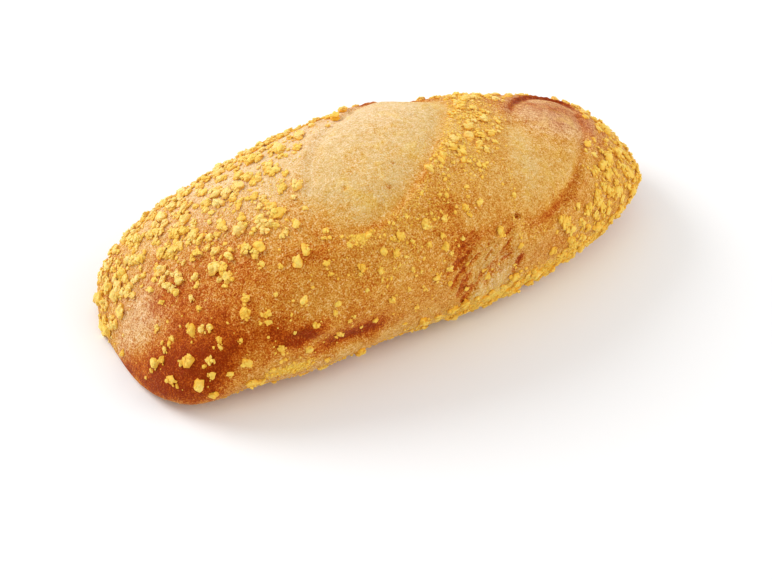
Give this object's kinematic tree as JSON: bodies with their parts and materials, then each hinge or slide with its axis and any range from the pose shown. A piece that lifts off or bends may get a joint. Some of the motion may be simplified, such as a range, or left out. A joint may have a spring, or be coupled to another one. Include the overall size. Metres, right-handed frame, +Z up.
{
  "type": "cornbread loaf",
  "caption": "Oblong cornbread loaf with slanting slashes across its back and a crust set with coarse corn grits, flat underneath.",
  "frame": {"origin": "on the base plane, under the middle of the loaf's bounding box", "axes": "+X along the loaf towards its narrow end, +Y towards its far flank, +Z up"},
  "size_m": [0.278, 0.1222, 0.0854],
  "materials": {
    "crust": "matt baked crust, golden brown and paler on the slashes, under scattered yellow maize grits"
  },
  "bodies": {
    "root": {"loaf": "crust"}
  },
  "joints": []
}
